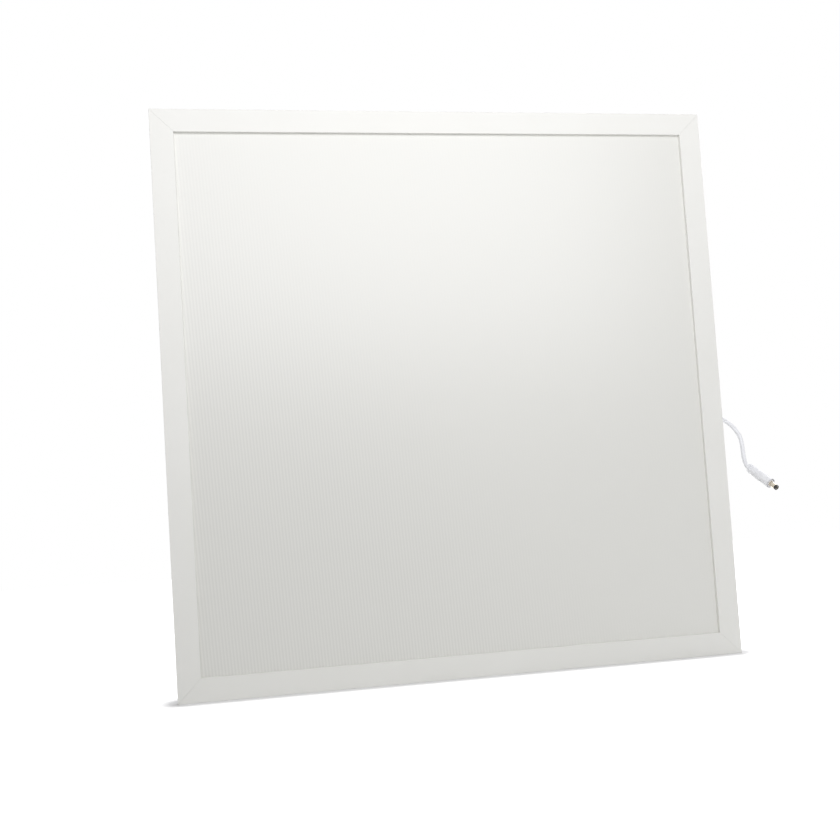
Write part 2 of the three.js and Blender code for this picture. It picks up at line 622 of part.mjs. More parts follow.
const PLUG_REAR = LEAD_END_GAP;
const PLUG_FACE = PLUG_REAR + PLUG_LENGTH;
const BARREL_FOOT = PLUG_FACE - BARREL_SEAT_DEPTH;
const BARREL_END = PLUG_FACE + BARREL_REACH - BARREL_TIP_LENGTH;
const SEAT_RADIUS = BARREL_RADIUS + SNUG_FIT;
const LINER_RADIUS = BARREL_RADIUS - BARREL_WALL - SNUG_FIT;
const CONTACT_RADIUS = CONTACT_BORE_RADIUS + CONTACT_WALL;
const CONTACT_END = PLUG_FACE + BARREL_REACH - CONTACT_RECESS;
add("plug_body", turned([
  [0, PLUG_REAR],
  [PLUG_GRIP_RADIUS - PLUG_STEP, PLUG_REAR],
  [PLUG_GRIP_RADIUS, PLUG_REAR + PLUG_STEP],
  [PLUG_GRIP_RADIUS, PLUG_REAR + PLUG_GRIP_LENGTH],
  [PLUG_RADIUS, PLUG_REAR + PLUG_GRIP_LENGTH + PLUG_STEP],
  [PLUG_RADIUS, PLUG_FACE - PLUG_CHAMFER],
  [PLUG_RADIUS - PLUG_CHAMFER, PLUG_FACE],
  [SEAT_RADIUS, PLUG_FACE],
  [SEAT_RADIUS, BARREL_FOOT - SNUG_FIT],
  [0, BARREL_FOOT - SNUG_FIT],
], 20), FINISHES.leadJacket, plug);
add(
  "plug_barrel",
  tubeBetween(BARREL_RADIUS - BARREL_WALL, BARREL_RADIUS, BARREL_FOOT, BARREL_END, 20),
  FINISHES.nickel,
  plug,
);
add("plug_insulator", turned([
  [CONTACT_RADIUS + SNUG_FIT, BARREL_FOOT],
  [LINER_RADIUS, BARREL_FOOT],
  [LINER_RADIUS, BARREL_END + SNUG_FIT],
  [BARREL_RADIUS, BARREL_END + SNUG_FIT],
  [BARREL_RADIUS, PLUG_FACE + BARREL_REACH - TIP_CHAMFER],
  [BARREL_RADIUS - TIP_CHAMFER, PLUG_FACE + BARREL_REACH],
  [CONTACT_RADIUS + SNUG_FIT, PLUG_FACE + BARREL_REACH],
  [CONTACT_RADIUS + SNUG_FIT, BARREL_FOOT],
], 20), FINISHES.tipPlastic, plug);
add(
  "plug_contact",
  tubeBetween(CONTACT_BORE_RADIUS, CONTACT_RADIUS, BARREL_FOOT, CONTACT_END, 20),
  FINISHES.nickel,
  plug,
);

export default panel;
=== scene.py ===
import math

import bmesh
import bpy
from mathutils import Matrix, Vector


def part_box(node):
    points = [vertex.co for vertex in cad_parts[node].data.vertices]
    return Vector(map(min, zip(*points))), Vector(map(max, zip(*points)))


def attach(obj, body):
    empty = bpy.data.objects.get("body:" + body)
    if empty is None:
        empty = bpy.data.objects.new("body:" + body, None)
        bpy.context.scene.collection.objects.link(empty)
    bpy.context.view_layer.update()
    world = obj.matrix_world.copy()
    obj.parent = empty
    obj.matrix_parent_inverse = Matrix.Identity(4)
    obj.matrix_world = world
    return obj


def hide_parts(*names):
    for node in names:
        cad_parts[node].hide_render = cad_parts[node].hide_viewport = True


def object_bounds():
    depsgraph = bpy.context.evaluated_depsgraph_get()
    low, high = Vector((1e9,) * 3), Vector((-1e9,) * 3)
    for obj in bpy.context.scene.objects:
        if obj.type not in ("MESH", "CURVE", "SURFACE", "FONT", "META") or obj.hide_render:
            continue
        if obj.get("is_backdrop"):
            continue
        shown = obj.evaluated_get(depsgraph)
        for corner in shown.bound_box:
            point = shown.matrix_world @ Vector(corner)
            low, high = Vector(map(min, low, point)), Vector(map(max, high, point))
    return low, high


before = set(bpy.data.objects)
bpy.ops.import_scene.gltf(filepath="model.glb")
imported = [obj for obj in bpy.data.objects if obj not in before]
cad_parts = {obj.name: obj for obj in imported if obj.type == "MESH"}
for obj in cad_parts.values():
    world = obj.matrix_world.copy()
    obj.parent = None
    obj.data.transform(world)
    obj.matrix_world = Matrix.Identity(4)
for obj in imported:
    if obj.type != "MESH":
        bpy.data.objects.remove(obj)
cad_low, cad_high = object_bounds()
bpy.ops.object.select_all(action="DESELECT")
MM = 0.001


# Camera: stands just over a metre in front of the panel, near its lower left, and looks a little
# up and to the right at it, tipped a few degrees to one side.
HEADING = math.radians(-11.281)
PITCH = math.radians(3.811)
ROLL = math.radians(-3.707)

camera_data = bpy.data.cameras.new("camera")
camera_data.sensor_width = 36
camera_data.lens = 47.389
camera_data.shift_y = 0.0421
camera = bpy.data.objects.new("camera", camera_data)
bpy.context.scene.collection.objects.link(camera)
camera.matrix_world = (
    Matrix.Translation((-0.26445, -1.12625, -0.14253))
    @ Matrix.Rotation(HEADING, 4, "Z")
    @ Matrix.Rotation(math.pi / 2 + PITCH, 4, "X")
    @ Matrix.Rotation(ROLL, 4, "Z")
)
bpy.context.scene.camera = camera


# Lead: a round two-core cable with a jacket of plasticised PVC, extruded over the cores. It leaves
# the strain relief straight, droops behind the panel and curls forward past its edge. X is from
# the panel's right edge.
LEAD_DIAMETER = 4.5 * MM
LEAD_ROUTE = [
    (-0.073, 0.0055, -0.023),
    (-0.065, 0.0055, -0.023),
    (-0.057, 0.0055, -0.0235),
    (-0.049, 0.0055, -0.0245),
    (-0.041, 0.0055, -0.0255),
    (-0.033, 0.0055, -0.027),
    (-0.0255, 0.0055, -0.029),
    (-0.0175, 0.006, -0.0315),
    (-0.010, 0.006, -0.0345),
    (-0.003, 0.006, -0.0375),
    (0.0045, 0.0055, -0.0415),
    (0.011, 0.005, -0.0455),
    (0.017, 0.0045, -0.0505),
    (0.0215, 0.003, -0.057),
    (0.0245, 0.0015, -0.064),
    (0.025, -0.0005, -0.072),
    (0.0245, -0.0025, -0.080),
    (0.0235, -0.0055, -0.0875),
    (0.023, -0.0095, -0.094),
    (0.023, -0.0125, -0.0974),
    (0.024, -0.0155, -0.0995),
]
right_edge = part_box("frame_rail_right")[1].x
lead_points = [Vector(point) + Vector((right_edge, 0, 0)) for point in LEAD_ROUTE]


def linear(code):
    """The linear colour of an sRGB hex code."""
    parts = [int(code[i : i + 2], 16) / 255 for i in (1, 3, 5)]
    return [c / 12.92 if c <= 0.04045 else ((c + 0.055) / 1.055) ** 2.4 for c in parts] + [1]


def new_material(name):
    """A material with an empty node tree, and the tree."""
    material = bpy.data.materials.new(name)
    material.use_nodes = True
    material.node_tree.nodes.clear()
    return material, material.node_tree


def add_node(tree, kind, inputs, **settings):
    """Adds a node with its settings. Each of its inputs is given a value, or linked from an output."""
    node = tree.nodes.new(kind)
    for name, value in settings.items():
        setattr(node, name, value)
    for name, value in inputs.items():
        if isinstance(value, bpy.types.NodeSocket):
            tree.links.new(value, node.inputs[name])
        else:
            node.inputs[name].default_value = value
    return node


def belongs(piece, slot, *nodes):
    """The piece rides on the panel and stands for those CAD nodes, which are hidden. The slot is not
    used.
    """
    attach(piece, "root")
    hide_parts(*nodes)


# Plasticised PVC, a clean bluish white. Extruding and moulding both leave it satin, with a faint
# grain about half a millimetre across that breaks up its highlights.
PVC_GRAIN = 0.5 * MM
white_pvc, tree = new_material("white_pvc")
place = add_node(tree, "ShaderNodeTexCoord", {})
grain = add_node(tree, "ShaderNodeTexNoise", {
    "Vector": place.outputs["Object"], "Scale": 1 / PVC_GRAIN, "Detail": 3,
})
clouding = add_node(tree, "ShaderNodeTexNoise", {
    "Vector": place.outputs["Object"], "Scale": 1 / (9 * MM), "Detail": 2,
})
tint = add_node(tree, "ShaderNodeMixRGB", {
    "Fac": clouding.outputs["Fac"], "Color1": linear("#eff0f4"), "Color2": linear("#f6f7f9"),
})
relief = add_node(tree, "ShaderNodeBump", {
    "Height": grain.outputs["Fac"], "Strength": 0.5, "Distance": 0.02 * MM,
})
gloss = add_node(tree, "ShaderNodeMapRange", {
    "Value": grain.outputs["Fac"], "To Min": 0.36, "To Max": 0.5,
})
shader = add_node(tree, "ShaderNodeBsdfPrincipled", {
    "Base Color": tint.outputs["Color"],
    "Roughness": gloss.outputs["Result"],
    "IOR": 1.53,
    "Normal": relief.outputs["Normal"],
})
add_node(tree, "ShaderNodeOutputMaterial", {"Surface": shader.outputs["BSDF"]})

lead_data = bpy.data.curves.new("lead", "CURVE")
lead_data.dimensions = "3D"
lead_data.resolution_u = 8
lead_data.bevel_depth = LEAD_DIAMETER / 2
lead_data.bevel_resolution = 6
lead_data.use_fill_caps = True
line = lead_data.splines.new("BEZIER")
line.bezier_points.add(len(lead_points) - 1)
for knot, point in zip(line.bezier_points, lead_points):
    knot.co = point
    knot.handle_left_type = knot.handle_right_type = "AUTO"
lead = bpy.data.objects.new("lead", lead_data)
bpy.context.scene.collection.objects.link(lead)
lead_data.materials.append(white_pvc)
belongs(lead, "white_pvc", "lead_cord")


# Strain relief: one PVC moulding that grips the wiring cover's wall between two flanges. Its tail
# tapers to the lead, cut from both sides in turn into rings, so that it bends in an even curve.
RELIEF_TAIL_RADIUS = 4 * MM
RELIEF_TIP_RADIUS = 2.75 * MM
RELIEF_FLANGE_RADIUS = 4.5 * MM
RELIEF_FLANGE = 1.5 * MM
RELIEF_SLOTS = 6
RELIEF_SLOT_DEPTH = 0.9 * MM
RELIEF_OVERLAP = 1.2 * MM
RELIEF_NECK = 1.8 * MM
RELIEF_SLOT_EDGE = 0.6 * MM
cover_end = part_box("wiring_cover")[1].x
tail_start = cover_end + RELIEF_NECK
tail_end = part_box("strain_relief")[1].x


def pick(piece, kind, wanted):
    """In edit mode, selects only those of the piece's verts, edges or faces that are wanted."""
    bpy.ops.mesh.select_mode(type={"verts": "VERT", "edges": "EDGE", "faces": "FACE"}[kind])
    bpy.ops.mesh.select_all(action="DESELECT")
    mesh = bmesh.from_edit_mesh(piece.data)
    for element in getattr(mesh, kind):
        element.select_set(wanted(element))
    mesh.select_flush_mode()
    bmesh.update_edit_mesh(piece.data)


def middle(element):
    """The middle of an edge or a face."""
    return sum((corner.co for corner in element.verts), Vector()) / len(element.verts)


def cut_across(piece, levels):
    """Cuts the whole piece level with each height along its own Z."""
    for level in levels:
        bpy.ops.mesh.select_all(action="SELECT")
        bpy.ops.mesh.bisect(plane_co=(0, 0, level), plane_no=(0, 0, 1))


def start_shape(name):
    """Names the primitive just added, and opens it in edit mode."""
    piece = bpy.context.object
    piece.name = piece.data.name = name
    bpy.ops.object.mode_set(mode="EDIT")
    return piece


def end_shape(piece, material, place=Matrix(), smooth=35, bevel=None):
    """Closes edit mode, rounds the sharp edges, puts the piece in its place and gives its material."""
    bpy.ops.object.mode_set(mode="OBJECT")
    if bevel:
        rounding = piece.modifiers.new("rounding", "BEVEL")
        rounding.width = bevel
        rounding.segments = 3
        rounding.limit_method = "ANGLE"
        rounding.angle_limit = math.radians(smooth)
        bpy.ops.object.modifier_apply(modifier=rounding.name)
    bpy.ops.object.shade_smooth_by_angle(angle=math.radians(smooth))
    flatness = piece.modifiers.new("flatness", "WEIGHTED_NORMAL")
    flatness.keep_sharp = True
    bpy.ops.object.modifier_apply(modifier=flatness.name)
    piece.matrix_world = place @ piece.matrix_world
    bpy.ops.object.transform_apply(location=True, rotation=True, scale=True)
    piece.data.materials.clear()
    piece.data.materials.append(material)
    piece.select_set(False)


# It is shaped along +Z from the cover wall's outer face, then laid over to point along +X.
def along_x(x, y, z):
    """The place of a shape made along +Z, turned to point along +X from there."""
    return Matrix.Translation((x, y, z)) @ Matrix.Rotation(math.pi / 2, 4, "Y")


tail_length = tail_end - tail_start
bpy.ops.mesh.primitive_cone_add(
    vertices=48,
    radius1=RELIEF_TAIL_RADIUS,
    radius2=RELIEF_TIP_RADIUS,
    depth=tail_length,
    location=(0, 0, tail_length / 2),
)
strain_relief = start_shape("strain_relief_boot")
bpy.ops.object.mode_set(mode="OBJECT")
bpy.ops.object.transform_apply(location=True, rotation=True, scale=True)
bpy.ops.object.mode_set(mode="EDIT")
ring = tail_length / (2 * RELIEF_SLOTS + 2)
cut_across(strain_relief, [ring * (i + 1) for i in range(2 * RELIEF_SLOTS + 1)])
for i in range(RELIEF_SLOTS):
    slot_middle = ring * (2 * i + 1.5)
    way = 1 if i % 2 else -1
    pick(strain_relief, "faces", lambda face: (
        abs(middle(face).z - slot_middle) < ring / 2
        and way * middle(face).y > RELIEF_SLOT_EDGE
    ))
    bpy.ops.mesh.extrude_region_shrink_fatten(
        TRANSFORM_OT_shrink_fatten={"value": -RELIEF_SLOT_DEPTH},
    )
pick(strain_relief, "faces", lambda face: middle(face).z < 1e-5)
bpy.ops.mesh.inset(thickness=0.1 * MM)
bpy.ops.mesh.extrude_region_move(TRANSFORM_OT_translate={"value": (0, 0, -RELIEF_NECK)})
pick(strain_relief, "faces", lambda face: abs(middle(face).z - tail_length) < 1e-5)
bpy.ops.mesh.extrude_region_move(TRANSFORM_OT_translate={"value": (0, 0, RELIEF_OVERLAP)})
bpy.ops.mesh.inset(thickness=RELIEF_TIP_RADIUS - LEAD_DIAMETER / 2 - 0.05 * MM)
bpy.ops.mesh.extrude_region_move(TRANSFORM_OT_translate={"value": (0, 0, -2 * RELIEF_OVERLAP)})
boot_place = along_x(tail_start, lead_points[0].y, lead_points[0].z)
end_shape(strain_relief, white_pvc, boot_place, smooth=40)
belongs(strain_relief, "white_pvc", "strain_relief")

bpy.ops.mesh.primitive_cylinder_add(
    vertices=48,
    radius=RELIEF_FLANGE_RADIUS,
    depth=RELIEF_FLANGE,
    location=(0, 0, -RELIEF_FLANGE / 2),
)
relief_flange = start_shape("strain_relief_flange")
end_shape(relief_flange, white_pvc, boot_place, smooth=40, bevel=0.35 * MM)
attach(relief_flange, "root")


# Plug body: white PVC moulded over the contacts and the lead's end. The rear is slimmer, with a
# sunk grip panel above and below, and a narrow deep groove runs round the front face.
PLUG_RADIUS = 5.35 * MM
PLUG_TURN = math.radians(40)
PLUG_LENGTH = 33.5 * MM
GRIP_LENGTH = 14 * MM
GRIP_RADIUS = 4.95 * MM
REAR_RADIUS = 4.1 * MM
BARREL_RADIUS = 2.75 * MM
BARREL_REACH = 9.6 * MM
TIP_LENGTH = 2.2 * MM
BARREL_WALL = 0.5 * MM
BARREL_ROOT = 6 * MM
PANEL_RIM = 0.35 * MM
PANEL_DEPTH = 0.55 * MM
FACE_RIM = 0.3 * MM
GROOVE_WIDTH = 0.95 * MM
GROOVE_DEPTH = 3.2 * MM
COLLAR_GAP = 0.3 * MM
COLLAR_DEPTH = 0.5 * MM
plug_way = (lead_points[-1] - lead_points[-2]).normalized()
plug_place = (
    Matrix.Translation(lead_points[-1])
    @ plug_way.to_track_quat("Z", "Y").to_matrix().to_4x4()
    @ Matrix.Rotation(PLUG_TURN, 4, "Z")
)


def widen(piece, level, radius, was):
    """Scales the ring of points at that height from one radius to another."""
    pick(piece, "verts", lambda vert: abs(vert.co.z - level) < 1e-6)
    bpy.ops.transform.resize(value=(radius / was, radius / was, 1), center_override=(0, 0, level))


bpy.ops.mesh.primitive_cylinder_add(
    vertices=64, radius=PLUG_RADIUS, depth=PLUG_LENGTH, location=(0, 0, PLUG_LENGTH / 2),
)
bpy.ops.object.transform_apply(location=True, rotation=True, scale=True)
plug_body = start_shape("plug_moulding")
panel_start, panel_end = 2.2 * MM, 12 * MM
cut_across(plug_body, [1 * MM, panel_start, panel_end, GRIP_LENGTH, GRIP_LENGTH + 0.8 * MM])
widen(plug_body, 0, REAR_RADIUS, PLUG_RADIUS)
widen(plug_body, 1 * MM, 4.6 * MM, PLUG_RADIUS)
widen(plug_body, panel_start, 4.7 * MM, PLUG_RADIUS)
widen(plug_body, panel_end, GRIP_RADIUS, PLUG_RADIUS)
widen(plug_body, GRIP_LENGTH, GRIP_RADIUS, PLUG_RADIUS)
for way in (1, -1):
    pick(plug_body, "faces", lambda face: (
        panel_start < middle(face).z < panel_end
        and way * middle(face).y > 0.78 * GRIP_RADIUS
    ))
    bpy.ops.mesh.inset(thickness=PANEL_RIM)
    bpy.ops.mesh.extrude_region_shrink_fatten(TRANSFORM_OT_shrink_fatten={"value": -PANEL_DEPTH})
pick(plug_body, "faces", lambda face: face.normal.z > 0.9)
bpy.ops.mesh.inset(thickness=FACE_RIM)
bpy.ops.mesh.inset(thickness=GROOVE_WIDTH)
pick(plug_body, "faces", lambda face: (
    face.normal.z > 0.9
    and 0.8 * PLUG_RADIUS < Vector(middle(face).xy).length < 0.93 * PLUG_RADIUS
))
bpy.ops.mesh.extrude_region_move(TRANSFORM_OT_translate={"value": (0, 0, -GROOVE_DEPTH)})
pick(plug_body, "faces", lambda face: face.normal.z > 0.9 and Vector(middle(face).xy).length < 0.1 * MM)
face_radius = PLUG_RADIUS - FACE_RIM - GROOVE_WIDTH
bpy.ops.mesh.inset(thickness=face_radius - BARREL_RADIUS - COLLAR_GAP)
bpy.ops.mesh.extrude_region_move(TRANSFORM_OT_translate={"value": (0, 0, -COLLAR_DEPTH)})
end_shape(plug_body, white_pvc, plug_place, smooth=35, bevel=0.14 * MM)
belongs(plug_body, "white_pvc", "plug_body")


# Plug barrel: a rolled brass tube, nickel plated, the plug's outer contact.
plated, tree = new_material("nickel_plated_brass")
place = add_node(tree, "ShaderNodeTexCoord", {})
scuff = add_node(tree, "ShaderNodeTexNoise", {
    "Vector": place.outputs["Object"], "Scale": 1 / (0.6 * MM), "Detail": 4,
})
gloss = add_node(tree, "ShaderNodeMapRange", {
    "Value": scuff.outputs["Fac"], "To Min": 0.16, "To Max": 0.34,
})
tint = add_node(tree, "ShaderNodeMixRGB", {
    "Fac": scuff.outputs["Fac"], "Color1": linear("#c8bfae"), "Color2": linear("#e0d8c9"),
})
shader = add_node(tree, "ShaderNodeBsdfPrincipled", {
    "Base Color": tint.outputs["Color"], "Metallic": 1, "Roughness": gloss.outputs["Result"],
})
add_node(tree, "ShaderNodeOutputMaterial", {"Surface": shader.outputs["BSDF"]})


def tube(name, inner, outer, start, end, sides=48):
    """A round tube along +Z: a cylinder whose ends are inset to the bore and bridged through."""
    bpy.ops.mesh.primitive_cylinder_add(
        vertices=sides, radius=outer, depth=end - start, location=(0, 0, (start + end) / 2),
    )
    bpy.ops.object.transform_apply(location=True, rotation=True, scale=True)
    piece = start_shape(name)
    pick(piece, "faces", lambda face: abs(face.normal.z) > 0.9)
    bpy.ops.mesh.inset(thickness=outer - inner, use_boundary=True)
    bpy.ops.mesh.bridge_edge_loops()
    return piece


barrel_end = PLUG_LENGTH + BARREL_REACH - TIP_LENGTH
barrel_bore = BARREL_RADIUS - BARREL_WALL
barrel = tube(
    "plug_outer_contact", barrel_bore, BARREL_RADIUS, PLUG_LENGTH - BARREL_ROOT, barrel_end,
)
end_shape(barrel, plated, plug_place, bevel=0.06 * MM)
belongs(barrel, "plated_contact", "plug_barrel")

# Plug tip: the black insulator that lines the barrel and shows as a ring at its mouth, with the
# tubular centre contact inside it.
black_plastic, tree = new_material("black_polyamide")
place = add_node(tree, "ShaderNodeTexCoord", {})
grain = add_node(tree, "ShaderNodeTexNoise", {
    "Vector": place.outputs["Object"], "Scale": 1 / (0.3 * MM), "Detail": 3,
})
gloss = add_node(tree, "ShaderNodeMapRange", {
    "Value": grain.outputs["Fac"], "To Min": 0.3, "To Max": 0.45,
})
tint = add_node(tree, "ShaderNodeMixRGB", {
    "Fac": grain.outputs["Fac"], "Color1": linear("#0c0c0d"), "Color2": linear("#17171a"),
})
shader = add_node(tree, "ShaderNodeBsdfPrincipled", {
    "Base Color": tint.outputs["Color"], "Roughness": gloss.outputs["Result"], "IOR": 1.5,
})
add_node(tree, "ShaderNodeOutputMaterial", {"Surface": shader.outputs["BSDF"]})

TIP_BORE_RADIUS = 1.5 * MM
TIP_GAP = 0.02 * MM
tip_end = barrel_end + TIP_LENGTH
insulator = tube("plug_tip", TIP_BORE_RADIUS, BARREL_RADIUS, barrel_end + TIP_GAP, tip_end)
end_shape(insulator, black_plastic, plug_place, bevel=0.35 * MM)
belongs(insulator, "black_insulator", "plug_insulator")

CONTACT_BORE_RADIUS = 1.05 * MM
CONTACT_RADIUS = 1.4 * MM
CONTACT_SETBACK = 0.5 * MM
contact = tube(
    "plug_centre_contact", CONTACT_BORE_RADIUS, CONTACT_RADIUS, PLUG_LENGTH, tip_end - CONTACT_SETBACK,
)
end_shape(contact, plated, plug_place, bevel=0.06 * MM)
belongs(contact, "plated_contact", "plug_contact")


# Frame rails: four lengths of one extruded aluminium profile, mitred at the corners and drawn
# together by the keys inside. Powder coated, which rounds every edge a little.
EDGE_ROUNDING = 0.11 * MM

# Polyester powder coat: warm white and satin, with the orange peel that the powder leaves as it
# melts. The real peel is about 1 mm across, and is drawn at 2 mm so that it shows.
PEEL = 2 * MM
powder_coat, tree = new_material("powder_coat")
place = add_node(tree, "ShaderNodeTexCoord", {})
peel = add_node(tree, "ShaderNodeTexNoise", {
    "Vector": place.outputs["Object"], "Scale": 1 / PEEL, "Detail": 2, "Roughness": 0.4,
})
shade = add_node(tree, "ShaderNodeTexNoise", {
    "Vector": place.outputs["Object"], "Scale": 1 / (60 * MM), "Detail": 2,
})
tint = add_node(tree, "ShaderNodeMixRGB", {
    "Fac": shade.outputs["Fac"], "Color1": linear("#e8e8e3"), "Color2": linear("#ecece8"),
})
relief = add_node(tree, "ShaderNodeBump", {
    "Height": peel.outputs["Fac"], "Strength": 0.6, "Distance": 0.012 * MM,
})
gloss = add_node(tree, "ShaderNodeMapRange", {
    "Value": peel.outputs["Fac"], "To Min": 0.42, "To Max": 0.54,
})
shader = add_node(tree, "ShaderNodeBsdfPrincipled", {
    "Base Color": tint.outputs["Color"],
    "Roughness": gloss.outputs["Result"],
    "IOR": 1.5,
    "Normal": relief.outputs["Normal"],
})
add_node(tree, "ShaderNodeOutputMaterial", {"Surface": shader.outputs["BSDF"]})

for side in ("bottom", "right", "top", "left"):
    run = Vector((1, 0, 0)) if side in ("bottom", "top") else Vector((0, 0, 1))
    rail = bpy.data.objects.new(f"rail_{side}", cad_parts[f"frame_rail_{side}"].data.copy())
    bpy.context.scene.collection.objects.link(rail)
    bpy.context.view_layer.objects.active = rail
    rail.select_set(True)
    bpy.ops.mesh.customdata_custom_splitnormals_clear()
    bpy.ops.object.mode_set(mode="EDIT")
    bpy.ops.mesh.select_all(action="SELECT")
    bpy.ops.mesh.remove_doubles(threshold=1e-6)
    bpy.ops.mesh.dissolve_limited(angle_limit=math.radians(1))
    pick(rail, "edges", lambda edge: (
        abs((edge.verts[0].co - edge.verts[1].co).normalized().dot(run)) > 0.99
        and edge.calc_face_angle(0) > math.radians(20)
    ))
    bpy.ops.mesh.bevel(offset=EDGE_ROUNDING, segments=2, affect="EDGES")
    end_shape(rail, powder_coat, smooth=30)
    belongs(rail, "powder_coated_aluminium", f"frame_rail_{side}")


# Diffuser: a sheet of extruded prismatic polystyrene behind the frame's lip. Faint upright lines are
# painted into its colour as shade. They stand for the light guide's pattern as it shows in a moiré
# and sheen from one side, and a painted fade makes them darkest towards one lower corner and faint
# elsewhere. They are 3.2 mm apart here, coarse enough to show, and the same lines ridge the surface a
# little.
LINE_PITCH = 3.2 * MM
LINE_LEAN = math.radians(3)
WAVE_SCALE = math.pi / 10 / LINE_PITCH
diffuser_sheet, tree = new_material("prismatic_polystyrene")
place = add_node(tree, "ShaderNodeTexCoord", {})
leaning = add_node(tree, "ShaderNodeMapping", {
    "Vector": place.outputs["Object"], "Rotation": (0, LINE_LEAN, 0),
})
columns = add_node(tree, "ShaderNodeTexWave", {
    "Vector": leaning.outputs["Vector"], "Scale": WAVE_SCALE, "Distortion": 0.0,
}, wave_type="BANDS", bands_direction="X", wave_profile="SIN")
# Painted shade: the lines darken the colour most towards the lower left corner and fade off across the
# sheet.
corner = add_node(tree, "ShaderNodeVectorMath", {
    0: place.outputs["Object"], 1: (-0.8, 0, -0.6),
}, operation="DOT_PRODUCT")
painted_corner_fade = add_node(tree, "ShaderNodeMapRange", {
    "Value": corner.outputs["Value"],
    "From Min": -0.02, "From Max": 0.2, "To Min": 0.12, "To Max": 1,
}, interpolation_type="SMOOTHSTEP")
painted_line_shade = add_node(tree, "ShaderNodeMath", {
    0: columns.outputs["Fac"], 1: painted_corner_fade.outputs["Result"],
}, operation="MULTIPLY")
# The lines are mixed into the colour as painted shade.
tint = add_node(tree, "ShaderNodeMixRGB", {
    "Fac": painted_line_shade.outputs["Value"], "Color1": linear("#e1e1dc"), "Color2": linear("#dadad5"),
})
relief = add_node(tree, "ShaderNodeBump", {
    "Height": columns.outputs["Fac"], "Strength": 0.3, "Distance": 0.01 * MM,
})
shader = add_node(tree, "ShaderNodeBsdfPrincipled", {
    "Base Color": tint.outputs["Color"],
    "Roughness": 0.33,
    "IOR": 1.59,
    "Normal": relief.outputs["Normal"],
})
add_node(tree, "ShaderNodeOutputMaterial", {"Surface": shader.outputs["BSDF"]})


def coat(material, *names):
    """Gives CAD nodes that keep their shape their finish."""
    for name in names:
        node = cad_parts[name]
        node.data.materials.clear()
        node.data.materials.append(material)


coat(diffuser_sheet, "diffuser_sheet")


# Light guide: a clear cast acrylic plate, with white dots printed on its back that let the light
# out. The dots are 1.2 mm apart.
guide_acrylic, tree = new_material("printed_acrylic")
place = add_node(tree, "ShaderNodeTexCoord", {})
dots = add_node(tree, "ShaderNodeTexVoronoi", {
    "Vector": place.outputs["Object"], "Scale": 1 / (1.2 * MM), "Randomness": 0.0,
})
printed = add_node(tree, "ShaderNodeMapRange", {
    "Value": dots.outputs["Distance"], "From Min": 0.28, "From Max": 0.36,
})
tint = add_node(tree, "ShaderNodeMixRGB", {
    "Fac": printed.outputs["Result"], "Color1": linear("#fbfcfc"), "Color2": linear("#dbe6e8"),
})
shader = add_node(tree, "ShaderNodeBsdfPrincipled", {
    "Base Color": tint.outputs["Color"], "Roughness": 0.08, "IOR": 1.49,
})
add_node(tree, "ShaderNodeOutputMaterial", {"Surface": shader.outputs["BSDF"]})
coat(guide_acrylic, "light_guide_plate")


# Reflector and foam: a voided white polyester film, and a sheet of polyethylene foam that presses
# the whole stack forward. The foam's closed cells are about 0.8 mm across.
white_film, tree = new_material("voided_polyester_film")
place = add_node(tree, "ShaderNodeTexCoord", {})
cloud = add_node(tree, "ShaderNodeTexNoise", {
    "Vector": place.outputs["Object"], "Scale": 1 / (4 * MM), "Detail": 4,
})
tint = add_node(tree, "ShaderNodeMixRGB", {
    "Fac": cloud.outputs["Fac"], "Color1": linear("#f3f4f4"), "Color2": linear("#fafafa"),
})
shader = add_node(tree, "ShaderNodeBsdfPrincipled", {
    "Base Color": tint.outputs["Color"], "Roughness": 0.4, "IOR": 1.6,
})
add_node(tree, "ShaderNodeOutputMaterial", {"Surface": shader.outputs["BSDF"]})
coat(white_film, "reflector_film")

foam, tree = new_material("polyethylene_foam")
place = add_node(tree, "ShaderNodeTexCoord", {})
cells = add_node(tree, "ShaderNodeTexVoronoi", {
    "Vector": place.outputs["Object"], "Scale": 1 / (0.8 * MM),
})
tint = add_node(tree, "ShaderNodeMixRGB", {
    "Fac": cells.outputs["Distance"], "Color1": linear("#e6eaea"), "Color2": linear("#cfd5d4"),
})
relief = add_node(tree, "ShaderNodeBump", {
    "Height": cells.outputs["Distance"], "Strength": 0.8, "Distance": 0.2 * MM,
})
shader = add_node(tree, "ShaderNodeBsdfPrincipled", {
    "Base Color": tint.outputs["Color"], "Roughness": 0.85, "Normal": relief.outputs["Normal"],
})
add_node(tree, "ShaderNodeOutputMaterial", {"Surface": shader.outputs["BSDF"]})
coat(foam, "foam_pad")


# Back sheet: half-millimetre steel, coil coated in a light grey before it was cut. The coating is
# satin with a fine wrinkle, and the coil's rolling shows as faint level bands.
WRINKLE = 0.9 * MM
coil_coat, tree = new_material("coil_coated_steel")
place = add_node(tree, "ShaderNodeTexCoord", {})
wrinkle = add_node(tree, "ShaderNodeTexNoise", {
    "Vector": place.outputs["Object"], "Scale": 1 / WRINKLE, "Detail": 3,
})
stretched = add_node(tree, "ShaderNodeMapping", {
    "Vector": place.outputs["Object"], "Scale": (1, 1, 12),
})
rolling = add_node(tree, "ShaderNodeTexNoise", {
    "Vector": stretched.outputs["Vector"], "Scale": 1 / (90 * MM), "Detail": 3,
})
tint = add_node(tree, "ShaderNodeMixRGB", {
    "Fac": rolling.outputs["Fac"], "Color1": linear("#d5d7d7"), "Color2": linear("#dfe1e0"),
})
relief = add_node(tree, "ShaderNodeBump", {
    "Height": wrinkle.outputs["Fac"], "Strength": 0.6, "Distance": 0.03 * MM,
})
gloss = add_node(tree, "ShaderNodeMapRange", {
    "Value": wrinkle.outputs["Fac"], "To Min": 0.34, "To Max": 0.5,
})
shader = add_node(tree, "ShaderNodeBsdfPrincipled", {
    "Base Color": tint.outputs["Color"],
    "Roughness": gloss.outputs["Result"],
    "IOR": 1.5,
    "Normal": relief.outputs["Normal"],
})
add_node(tree, "ShaderNodeOutputMaterial", {"Surface": shader.outputs["BSDF"]})
coat(coil_coat, "back_sheet")


